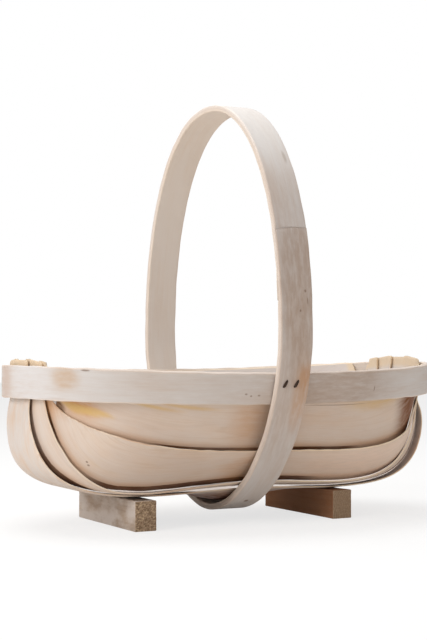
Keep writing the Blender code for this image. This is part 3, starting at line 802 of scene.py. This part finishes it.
# Materials
def bare_wood(name, seed, pale, warm, deep):
    """Bare flat-sawn wood with its figure, fibres and pores, and its height."""
    wood = Wood(name, seed)
    figure = wood.noise((5, 55, 90), 0, 2.0, 0.5)
    patches = wood.noise((9, 22, 22), 3)
    rings = wood.math("ADD", wood.across, wood.times(figure, 0.05))
    rings = wood.add("CombineXYZ", {"Y": rings, "Z": wood.depth})
    rings = wood.noise((1, 420, 420), 5, 2.0, 0.6, rings)
    fibres = wood.noise((45, 1900, 1900), 7, 4.0, 0.6)
    pores = wood.noise((160, 3600, 3600), 9, 2.0, 0.5)
    wood.colour = wood.mix(wood.ramp(patches, 0.35, 0.65), pale, warm)
    wood.coat(deep, wood.ramp(rings, 0.45, 0.75, 0.0, 0.42))
    wood.coat(deep, wood.ramp(fibres, 0.48, 0.75, 0.0, 0.30))
    wood.coat(deep, wood.ramp(pores, 0.62, 0.78, 0.0, 0.35))
    height = wood.math("ADD", wood.times(fibres, 0.6), wood.times(rings, 0.4))
    return wood, height, fibres, patches


def board_material(board, seed, wash_level, unshaded_laps):
    """Pale weathered board with a trace of whitewash. Where it is lapped it carries warm stain
    mixed with painted shade and a line of painted shade in the crevice, but for unshaded
    stretches, each between two shares of its length. The right half of its head edge has a
    painted highlight."""
    wood, height, fibres, patches = bare_wood(board + "_wood", seed, *BOARD_TONES)
    streaks = wood.noise((14, 160, 160), 11)
    wood.coat(BOARD_YELLOW, wood.ramp(streaks, 0.60, 0.78, 0.0, 0.35))
    film = wood.ramp(wood.noise((22, 60, 60), 13, 4.0, 0.6), 0.30, 0.62)
    wood.coat(WASH, film, wash_level, wood.ramp(fibres, 0.30, 0.62, 1.0, 0.55))
    outside = wood.ramp(wood.depth, BOARD_THICKNESS * 0.55, BOARD_THICKNESS * 0.75, 1.0, 0.0)
    wood.coat(WASH, wood.math("SUBTRACT", 1.0, outside), INSIDE_WASH)
    off_middle = wood.math("ABSOLUTE", wood.math("SUBTRACT", wood.share, 0.5))
    at_end = wood.ramp(off_middle, 0.478, 0.490)
    lapped = wood.times(outside, wood.math("SUBTRACT", 1.0, at_end))
    lap = wood.attribute("lap", "Fac")
    uneven = wood.ramp(patches, 0.25, 0.75, 0.3, 1.3)
    # Warm stain mixed with painted shade just above the lap
    wood.coat(STAIN_AND_SHADE, wood.ramp(lap, 0.0, LAP_STAIN_AND_SHADE, 1.0, 0.0), lapped, uneven, 0.42)
    edge_tone = wood.mix(wood.ramp(streaks, 0.4, 0.6), EDGE_CREAM, EDGE_ORANGE)
    wood.coat(edge_tone, wood.ramp(wood.edge, 0.3, 1.0), 0.6)
    # Painted highlight along the head edge of the board's right half
    painted_highlight = wood.ramp(wood.from_head, 0.0, 0.0014, 0.9, 0.0)
    wood.coat(EDGE_HIGHLIGHT, painted_highlight, wood.ramp(wood.share, 0.5, 0.62))
    wood.coat(END_TAN, at_end, 0.75)
    # Painted shade in the crevice at the lap, faded out along the unshaded stretches
    crevice_shade = [wood.ramp(lap, -CREVICE_SHADE_REACH, CREVICE_SHADE_REACH / 2, 1.0, 0.0), lapped,
             wood.ramp(patches, 0.3, 0.6, 0.6, 0.95)]
    for start, end in unshaded_laps:
        unshaded = wood.times(wood.ramp(wood.share, start, start + LAP_FADE),
                           wood.ramp(wood.share, end, end + LAP_FADE, 1.0, 0.0))
        crevice_shade.append(wood.ramp(unshaded, 0.0, 1.0, 1.0, 0.12))
    wood.coat(CREVICE_SHADE_TONE, *crevice_shade)
    wood.draw(BOARD_MARKS.get(board, ()))
    roughness = wood.ramp(fibres, 0.3, 0.7, 0.62, 0.82)
    return wood.finish(wood.colour, roughness, height, 0.00025)


def band_material(name, seed, thickness, marks):
    """A bent band under a worn coat of whitewash, thin on its arrises and streaked."""
    wood, height, fibres, _ = bare_wood(name, seed, *BAND_TONES)
    film = wood.noise((7, 34, 34), 13, 4.0, 0.55)
    streaks = wood.noise((18, 320, 320), 15, 4.0, 0.65)
    cover = wood.math("ADD", wood.times(film, 0.6), wood.times(streaks, 0.4))
    cover = wood.times(wood.ramp(cover, 0.34, 0.60, 0.35, 0.95),
                       wood.ramp(fibres, 0.50, 0.80, 1.0, 0.55),
                       wood.ramp(wood.edge, 0.4, 1.0, 1.0, 0.45))
    wood.coat(WASH, cover)
    wood.coat(BAND_EDGE, wood.ramp(wood.edge, 0.4, 1.0), 0.45)
    wood.coat(BAND_INSIDE, wood.ramp(wood.depth, thickness * 0.55, thickness * 0.75, 0.0, 0.55))
    wood.draw(marks)
    height = wood.math("ADD", height, wood.times(cover, 0.5))
    roughness = wood.ramp(cover, 0.2, 0.9, 0.62, 0.85)
    return wood.finish(wood.colour, roughness, height, 0.0002)


def foot_material(name, seed, wash_level, red_level, mottle_level):
    """A sawn block with mottled, ring-marked end grain and a thin wash on its long faces."""
    wood = Wood(name, seed)
    far = wood.distance((0, 0.030, -0.012), (0.06, 1, 1))
    drift = wood.times(wood.noise((12, 90, 90), 0), 0.006)
    rings = wood.math("SINE", wood.times(wood.math("ADD", far, drift), 2 * math.pi / 0.0021))
    fibres = wood.noise((60, 1500, 1500), 2, 4.0, 0.6)
    specks = wood.noise((900, 1400, 1400), 4, 3.0, 0.6)
    wood.colour = wood.mix(wood.ramp(rings, -0.2, 1.0, 0.0, 0.55), FOOT_WOOD, FOOT_LATE)
    wood.coat(FOOT_LATE, wood.ramp(specks, 0.5, 0.75, 0.0, 0.5))
    on_side = wood.ramp(wood.share, 0.5, 0.6)
    on_end = wood.math("SUBTRACT", 1.0, on_side)
    mottle = wood.noise((200, 450, 800), 8, 2.0, 0.6)
    wood.coat(FOOT_DARK, wood.ramp(mottle, 0.48, 0.62, 0.0, 0.65 * mottle_level), on_end)
    wood.coat(FOOT_PALE, wood.ramp(mottle, 0.34, 0.46, 0.55 * mottle_level, 0.0), on_end)
    wash = wood.noise((30, 120, 60), 6, 4.0, 0.6)
    wood.coat(FOOT_WASH, wood.ramp(wash, 0.35, 0.6, 0.3, 0.95), on_side, wash_level)
    # Red-brown coat on the long sides; on the right foot it is partly painted shade
    wood.coat(FOOT_RED, on_side, red_level)
    wood.coat(EDGE_CREAM, wood.ramp(wood.edge, 0.4, 1.0), 0.3)
    height = wood.math("ADD", fibres, wood.times(specks, 0.5))
    return wood.finish(wood.colour, 0.85, height, 0.0003)


def nail_material():
    """Dull steel with a brown skin of rust."""
    nodes = Nodes(bpy.data.materials.new("dull_nail"))
    place = nodes.add("TexCoord", out="Object")
    skin = nodes.add("TexNoise", {"Vector": place, "Scale": 900.0, "Detail": 4.0})
    rusty = nodes.add("MapRange", {"Value": skin, "From Min": 0.38, "From Max": 0.62})
    roughness = nodes.add("MapRange", {"Value": skin, "To Min": 0.38, "To Max": 0.75})
    colour = nodes.mix(rusty, NAIL_STEEL, NAIL_RUST)
    return nodes.finish(colour, roughness, skin, 0.0001, specular=0.5, metallic=0.7)


# Boards: how far their end corners are worn in, and how the ends above the rim start
END_CORNER = 0.0016
END_CORNER_START = 0.7
END_CORNER_REACH = 0.01
END_RUN = 0.004

# Kind, seed, whitewash, how much the outer edge is shaved, how much taller the ends stand, how
# far off the middle they do, and the stretches along it where the lap's line of painted shade
# fades away
BOARD_LOOKS = (("bilge", 23, 0.5, FEATHER, 0.0016, 0.06, ()),
               ("side", 37, 0.35, FEATHER, 0.0022, 0.0455, ((0.09, 0.17), (0.57, 2.0))),
               ("top", 53, 0.35, 0.0, 0.0, 0.2, ((-1.0, 0.19), (0.67, 2.0))))


def eased_ends(strip):
    """Moves the corners of a board's two ends in, as if worn round."""
    def shift(along, share):
        outer = (np.abs(2 * share - 1) - END_CORNER_START) / (1 - END_CORNER_START)
        corner = np.clip(outer, 0, 1) ** 2 * END_CORNER
        from_end = np.minimum(along, strip.length - along)
        side = np.where(along < strip.length / 2, 1, -1)
        return side * corner * np.clip(1 - from_end / END_CORNER_REACH, 0, 1)
    return shift


def taller_ends(points, extra, corner):
    """Lifts what stands above the rim, but for the part further off the middle than corner."""
    above = np.clip((points[..., 2] - rim_top(points[..., 0]) + END_RUN) / END_RUN, 0, 1)
    inner = np.clip((corner - np.abs(points[..., 1])) / END_CORNER, 0, 1)
    lift = extra * inner - END_RUN * (1 - inner)
    return points + UP * (above * lift)[..., None]


def hanging(points):
    """Lets the centre board's middle hang down where the hoop passes under it."""
    near = np.clip(np.abs(points[..., 0] - HANDLE_SHIFT) / SAG_REACH, 0, 1)
    cup = np.clip(1 - (points[..., 1] / CENTRE_MIDDLE) ** 2, 0, 1)
    low = points[..., 2] < RIM_HEIGHT / 2
    return points - UP * (SAG_DEPTH * cup * np.cos(near * math.pi / 2) ** 2 * low)[..., None]


def make_board(name, foot, head, seed, wash_level, feather, sag, lap_line=None,
               unshaded_laps=()):
    strip = Strip(smoothed(foot), smoothed(head))
    mesh = bend(strip, 0.0, strip.length, BOARD_THICKNESS, BOARD_ROUNDING, seed,
                eased_ends(strip), BOARD_RAGGED, feather=feather, sag=sag, lap_line=lap_line)
    material = board_material(name, seed, wash_level, unshaded_laps)
    new_piece(name, "bent", mesh, material)


def make_boards(edges):
    make_board("centre_board", *edges["centre"], 11, 0.95, (FEATHER, FEATHER), hanging)
    lower = edges["centre"]
    for kind, seed, wash_level, feather, extra, corner, unshaded_laps in BOARD_LOOKS:
        foot, head = edges[kind]

        def sag(points):
            return taller_ends(points, extra, corner)
        line = lower[1] + inward_of(*lower) * BOARD_THICKNESS
        for side, more, turned in (("front", 0, np.array), ("back", 5, mirrored)):
            make_board(f"{kind}_board_{side}", turned(foot), turned(head), seed + more,
                       wash_level, (0.0, feather), sag, turned(line), unshaded_laps)
        lower = edges[kind]


# Bands
def make_band(name, foot, head, begin, thickness, slant, width, seed, ragged, material):
    """A band that begins at one of its rows and is scarfed to its own start."""
    strip, span, outer, inner, shift, rows = scarfed(foot, head, begin, thickness, slant, width)
    mesh = bend(strip, *span, thickness, BAND_ROUNDING, seed, shift, ragged, outer, inner, rows)
    new_piece(name, "bent", mesh, material)


def make_handle():
    outline = handle_outline(HANDLE_STEPS * BAND_FINENESS)
    half = np.array([HANDLE_BAND / 2, 0.0, 0.0])
    gaps = np.abs(outline[:, 2] - SCARF_HEIGHT) + (outline[:, 1] > 0)
    make_band("handle_hoop", outline - half, outline + half, int(np.argmin(gaps)),
              HANDLE_THICKNESS, SCARF_SLANT_SHARE, HANDLE_BAND, 71, HANDLE_RAGGED,
              band_material("handle_wash", 71, HANDLE_THICKNESS, HOOP_MARKS))


def make_rim():
    top, bottom = rim_edges(RIM_STEPS * BAND_FINENESS)
    place = RIM_SCARF_PLACE + SCARF_LENGTH / 2
    gaps = np.abs(top[:, 0] - place) + (top[:, 1] < 0)
    make_band("rim_band", bottom, top, int(np.argmin(gaps)), RIM_THICKNESS, 0.0, RIM_BAND, 83,
              RIM_RAGGED, band_material("rim_wash", 83, RIM_THICKNESS, RIM_MARKS))


# Feet
FOOT_CELL = 0.002
FOOT_BEVEL = 0.0013
FOOT_ARRIS = 0.0016
FOOT_BASE = 0.0015
FOOT_DENT = 0.00015
LONG_EDGE = 0.015


def make_foot(name, seed, wash_level, red_level, mottle_level):
    """A sawn block with worn arrises and slightly uneven faces."""
    low, high = (np.array(corner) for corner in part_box(name))
    size, middle = high - low, (low + high) / 2
    shape = bmesh.new()
    bmesh.ops.create_cube(shape, size=1.0)
    bmesh.ops.scale(shape, vec=size, verts=shape.verts)
    bmesh.ops.bevel(shape, geom=shape.edges[:], offset=FOOT_BEVEL, segments=3, profile=0.6,
                    affect="EDGES")
    for axis in range(3):
        run = [edge for edge in shape.edges if edge.calc_length() > LONG_EDGE
               and abs((edge.verts[0].co - edge.verts[1].co)[axis]) > 0.9 * edge.calc_length()]
        bmesh.ops.subdivide_edges(shape, edges=run, cuts=int(size[axis] / FOOT_CELL),
                                  use_grid_fill=True)
    shape.normal_update()
    points = np.array([vertex.co for vertex in shape.verts])
    normals = np.array([vertex.normal for vertex in shape.verts])
    inset = size / 2 - np.abs(points)
    arris = np.clip(1 - np.sort(inset, axis=1)[:, 1] / FOOT_ARRIS, 0, 1)
    dent = wobble(points[:, 1], seed, FOOT_DENT, 0.03)
    dent = np.abs(dent + wobble(points[:, 2], seed + 1, FOOT_DENT, 0.012))
    dent = dent * (points[:, 2] > -size[2] / 2 + FOOT_BASE)
    moved = points - normals * dent[:, None]
    on_side = np.where(np.abs(normals[:, 1]) < 0.7, 1.0, 0.0)
    for vertex, place in zip(shape.verts, moved + middle):
        vertex.co = place
    mesh = bpy.data.meshes.new(name)
    shape.to_mesh(mesh)
    shape.free()
    dress(mesh, points[:, [1, 0, 2]], np.stack([on_side, inset.min(axis=1), arris], axis=1))
    material = foot_material(name + "_wood", seed, wash_level, red_level, mottle_level)
    new_piece(name, "block", mesh, material)


# Nails: the domed head's radii and heights, and how the clenched end reaches aside, stands up
# and thickens
NAIL_SIDES = 16
NAIL_POINT = 0.003
HEAD_DOME = ((0.0001, -0.00108), (0.0009, -0.00104), (0.0016, -0.00088), (0.0020, -0.0006),
             (0.0022, -0.00015), (0.0021, 0.0003), (0.0010, 0.00045))
CLENCH = ((0.0, -0.001, 1.0), (0.0001, 0.0001, 1.1), (0.0006, 0.0006, 1.3),
          (0.0016, 0.0007, 1.55), (0.0034, 0.0006, 1.5), (0.0052, 0.0004, 1.3),
          (0.0066, 0.0002, 0.95), (0.0074, -0.0003, 0.4))


def axes_matrix(place, direction, side):
    """A frame at a place, with its Z along a direction and its X near a side."""
    z_axis = unit(direction)
    x_axis = unit(side - z_axis * np.dot(side, z_axis))
    y_axis = np.cross(z_axis, x_axis)
    seat = Matrix((x_axis, y_axis, z_axis)).transposed().to_4x4()
    seat.translation = Vector(place)
    return seat


def board_seat(edges, place, share, from_right=False):
    """A nail's frame on a board's inner face: so far from one end, at a share of its width."""
    foot, head = edges
    reach = lengths_along(head)
    where = reach[-1] - place if from_right else place
    low, high = points_at(foot, reach, where), points_at(head, reach, where)
    inward = unit(points_at(inward_of(foot, head, share), reach, where))
    face = low + (high - low) * share + inward * (BOARD_THICKNESS + BENT_CLEARANCE)
    return axes_matrix(face, -inward, high - low)


def flipped(seat):
    """The same seat on the back of the trug."""
    return axes_matrix(*(mirrored(np.array(vector[:3]))
                         for vector in (seat.translation, seat.col[2], seat.col[0])))


def swept(path, radii):
    """Points of rings of given radii round a path, with no twist between them."""
    path = np.array(path)
    side = np.array([0.0, 1.0, 0.0])
    turns = np.linspace(0, 2 * math.pi, NAIL_SIDES, endpoint=False)[:, None]
    rings = []
    for point, direction, radius in zip(path, unit(np.gradient(path, axis=0)), radii):
        across = unit(side - direction * np.dot(side, direction))
        up = np.cross(direction, across)
        rings.append(point + radius * (np.cos(turns) * across + np.sin(turns) * up))
    return np.array(rings)


def straight_nail(length):
    """The path and radii of a nail with a domed head and a pointed shank."""
    heights = [height for _, height in HEAD_DOME] + [length - NAIL_POINT, length]
    radii = [radius for radius, _ in HEAD_DOME] + [NAIL_RADIUS, NAIL_RADIUS * 0.35]
    return [(0.0, 0.0, height) for height in heights], radii


def clenched_nail(depth):
    """A nail driven right through, its point hammered over slantwise and back into the wood."""
    path, radii = straight_nail(depth)
    path, radii = path[:-2], radii[:-2]
    for reach, rise, radius in CLENCH:
        path.append((math.cos(CLENCH_TURN) * reach, math.sin(CLENCH_TURN) * reach,
                     depth + rise))
        radii.append(NAIL_RADIUS * radius)
    return path, radii


def handle_seats(edges):
    """Frames of the front nails through the hoop, and how far it is to the hoop's outer face."""
    outline = handle_outline(8 * FINE_STEPS)
    outward = handle_normals(outline)
    height = RIM_HEIGHT - HANDLE_NAIL_DROP
    front = np.flatnonzero(outline[:, 1] < 0)
    nearest = front[np.argmin(np.abs(outline[front, 2] - height))]
    outside, facing = outline[nearest], outward[nearest]
    foot, head = edges["top"]
    row = int(np.argmin(np.abs(head[:, 0] - HANDLE_SHIFT)))
    inward = inward_of(foot, head)[row]
    inner = head[row] + inward * BOARD_THICKNESS
    tilt = math.sqrt(1 - float(np.dot(inward, facing)) ** 2)
    depth = float(np.dot(inner - outside, inward) / np.dot(-facing, inward))
    depth += CLEARANCE + NAIL_HEAD_RADIUS * tilt
    seats = []
    for place in HANDLE_NAIL_PLACES:
        start = outside + np.array([place - outside[0] + HANDLE_SHIFT, 0.0, 0.0])
        seats.append(axes_matrix(start - facing * depth, facing, UP))
    return seats, depth


def make_nails(edges):
    steel = nail_material()

    def drive(name, seats, nail):
        for number, seat in enumerate(seats, 1):
            node = f"{name}_{number}"
            mesh = lofted(node, swept(*nail))
            mesh.transform(seat)
            new_piece(node, "forged", mesh, steel)

    def drive_both(name, seats, nail):
        drive(name + "_front", seats, nail)
        drive(name + "_back", [flipped(seat) for seat in seats], nail)

    spread = CENTRE_NAIL_SPREAD / (2 * CENTRE_LINE["end"])
    for name, right in (("end_nail_left", False), ("end_nail_right", True)):
        seats = [board_seat(edges["centre"], END_NAIL_DROP, 0.5 + side * spread, right)
                 for side in (-1, 1)]
        front = [board_seat(edges["bilge"], END_NAIL_DROP, BILGE_NAIL_SHARE, right),
                 board_seat(edges["side"], END_NAIL_DROP, SIDE_END_NAIL_SHARE, right)]
        seats += front + [flipped(seat) for seat in front]
        drive(name, seats, straight_nail(END_NAIL_LENGTH))
    foot, head = edges["top"]
    reach, seats = lengths_along(head), []
    for share in SIDE_NAIL_SHARES:
        where = share * reach[-1]
        width = np.linalg.norm(points_at(head, reach, where) - points_at(foot, reach, where))
        seats.append(board_seat(edges["top"], where, 1 - (SIDE_NAIL_DROP - TOP_DROP) / width))
    drive_both("side_nail", seats, straight_nail(SIDE_NAIL_LENGTH))
    head = edges["centre"][1]
    reach = lengths_along(head)
    spread = FOOT_NAIL_SPREAD / (2 * CENTRE_MIDDLE)
    for name, place in (("foot_nail_left", FOOT_LEFT), ("foot_nail_right", FOOT_RIGHT)):
        where = float(np.interp(place, head[:, 0], reach))
        seats = [board_seat(edges["centre"], where, 0.5 + side * spread) for side in (-1, 1)]
        drive(name, seats, straight_nail(FOOT_NAIL_LENGTH))
    seats, depth = handle_seats(edges)
    drive_both("handle_nail", seats, clenched_nail(depth))


# Stage, light and camera
FLOOR_REACH = 6.0
FLOOR_WHITE_SHARE = 0.72
SKY_LEVEL = 0.52
AIM = (0.0, 0.0, 0.15)


def show(nodes, shown, lit, other_rays, output):
    """Shows one shader to the camera and to one more kind of rays, and another to the rest."""
    rays = nodes.add("LightPath", out=None)
    seen = nodes.math("MAXIMUM", rays.outputs["Is Camera Ray"], rays.outputs[other_rays])
    final = nodes.add("MixShader", {0: seen, 1: lit, 2: shown})
    nodes.put(nodes.tree.nodes[output].inputs["Surface"], final)


def make_stage():
    """A pale floor that shows white to the camera and keeps a soft shadow."""
    mesh = bpy.data.meshes.new("floor")
    corners = [(x * FLOOR_REACH, y * FLOOR_REACH, 0)
               for x, y in ((-1, -1), (1, -1), (1, 1), (-1, 1))]
    mesh.from_pydata(corners, [], [(0, 1, 2, 3)])
    floor = add_thing("floor", mesh)
    nodes = Nodes(bpy.data.materials.new("pale_floor"))
    nodes.tree.nodes.remove(nodes.tree.nodes["Principled BSDF"])
    lit = nodes.add("BsdfDiffuse", {"Color": FLOOR_LIT})
    bright = nodes.add("BsdfDiffuse", {"Color": FLOOR_SHOWN})
    white = nodes.add("Emission", {"Strength": 1.0})
    shown = nodes.add("MixShader", {0: FLOOR_WHITE_SHARE, 1: bright, 2: white})
    show(nodes, shown, lit, "Is Glossy Ray", "Material Output")
    mesh.materials.append(nodes.owner)


def make_world():
    """Even light from all round, and plain white where the camera sees it."""
    nodes = Nodes(bpy.data.worlds.new("studio"))
    bpy.context.scene.world = nodes.owner
    light = nodes.tree.nodes["Background"]
    nodes.put(light.inputs["Color"], SKY)
    nodes.put(light.inputs["Strength"], SKY_LEVEL)
    white = nodes.add("Background", {"Color": WHITE})
    show(nodes, white, light.outputs[0], "Is Transmission Ray", "World Output")


def add_lamp(name, place, size, power, colour):
    lamp = bpy.data.lights.new(name, "AREA")
    lamp.shape = "DISK"
    lamp.size = size
    lamp.energy = power
    lamp.color = colour
    thing = add_thing(name, lamp)
    thing.location = place
    thing.rotation_euler = (Vector(AIM) - Vector(place)).to_track_quat("-Z", "Y").to_euler()


def make_camera():
    data = bpy.data.cameras.new("camera")
    camera = add_thing("camera", data)
    data.sensor_width = SENSOR
    data.lens = FOCAL_PIXELS * SENSOR / IMAGE_HEIGHT
    data.shift_y = (HORIZON_ROW - IMAGE_HEIGHT / 2) / IMAGE_HEIGHT
    data.clip_start, data.clip_end = 0.01, 50.0
    camera.location = CAMERA_PLACE
    camera.rotation_euler = (math.pi / 2, 0.0, -CAMERA_YAW)
    bpy.context.scene.camera = camera


make_camera()
make_stage()
make_world()
add_lamp("key", (-1.8, -0.6, 1.0), 1.0, 17.0, (1.0, 0.985, 0.97))
add_lamp("top", (-0.2, 0.3, 1.8), 1.2, 20.0, (1.0, 0.99, 0.98))
bpy.context.scene.view_settings.view_transform = "Standard"

board_lines = board_edges()
make_boards(board_lines)
make_rim()
make_handle()
make_foot("foot_left", 91, 0.85, 0.0, 1.0)
# The right foot has little wash and a red-brown coat on its long sides: partly the wood's own
# colour, partly painted shade where the hull shades it
make_foot("foot_right", 97, 0.15, 0.75, 0.3)
make_nails(board_lines)
